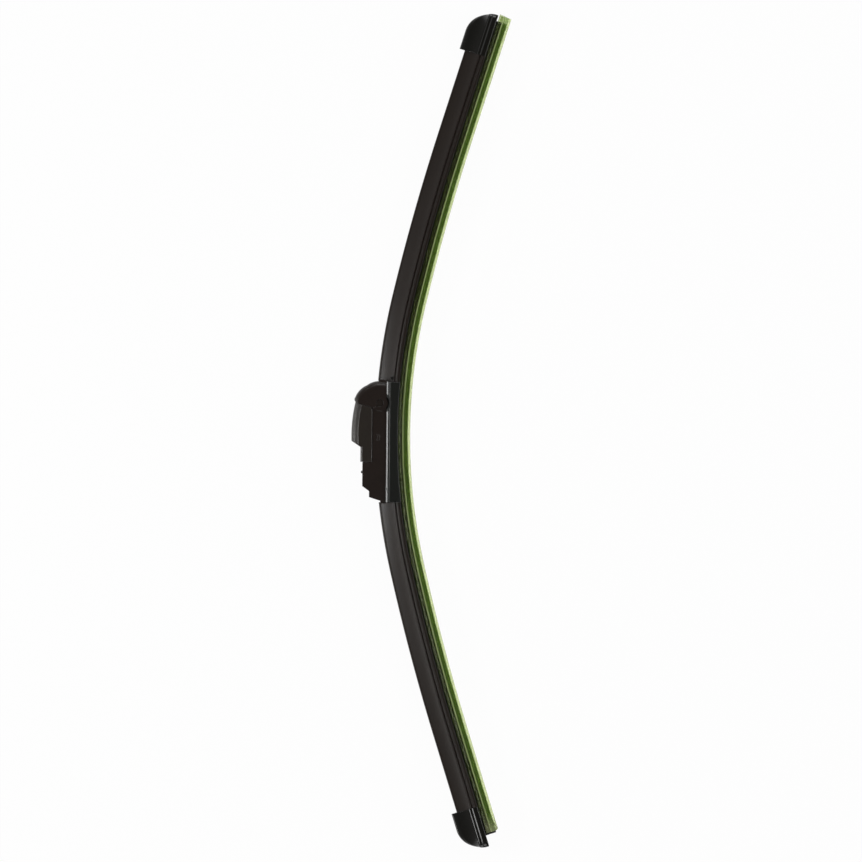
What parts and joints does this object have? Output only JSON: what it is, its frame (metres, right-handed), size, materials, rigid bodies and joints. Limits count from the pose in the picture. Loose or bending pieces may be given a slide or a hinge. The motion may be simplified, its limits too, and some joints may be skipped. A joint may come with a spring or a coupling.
{
  "type": "wiper blade",
  "caption": "Frameless car wiper blade with a bent spring beam, soft spoilers, end caps, a pivoting hook-arm adapter with flip cover and a lime lip guard.",
  "frame": {"origin": "on the axis of the pivot pin, midway between the connector's two sides", "axes": "+X from the pivot towards the wiping lip, +Y along the blade towards the longer half, +Z along the pivot pin"},
  "size_m": [0.1007, 0.5347, 0.022],
  "materials": {
    "wiping_rubber": "black natural rubber, matt",
    "rail_near": "spring steel strip",
    "rail_far": "spring steel strip",
    "spoiler_upper": "matt black soft extrusion",
    "spoiler_lower": "matt black soft extrusion",
    "end_cap_upper": "gloss black moulding",
    "end_cap_lower": "gloss black moulding",
    "protective_sleeve": "lime green flexible plastic, see-through",
    "base": "gloss black moulding",
    "pivot_pin": "blackened steel pin",
    "adapter": "gloss black moulding",
    "cover_hinge_pin": "thin steel pin",
    "cover": "gloss black moulding"
  },
  "bodies": {
    "blade": {"wiping_rubber": "wiping_rubber", "rail_near": "rail_near", "rail_far": "rail_far", "spoiler_upper": "spoiler_upper", "spoiler_lower": "spoiler_lower", "end_cap_upper": "end_cap_upper", "end_cap_lower": "end_cap_lower", "protective_sleeve": "protective_sleeve", "base": "base", "pivot_pin": "pivot_pin"},
    "adapter": {"adapter": "adapter", "cover_hinge_pin": "cover_hinge_pin"},
    "cover": {"cover": "cover"}
  },
  "joints": [
    {"name": "adapter_pivot", "type": "hinge", "parent": "blade", "child": "adapter", "pos_m": [0, 0, 0], "axis": [0, 0, -1], "range_deg": [-5, 15]},
    {"name": "cover_flip", "type": "hinge", "parent": "adapter", "child": "cover", "pos_m": [-0.0142, 0.0022, 0], "axis": [0, 0, -1], "range_deg": [0, 90]}
  ]
}
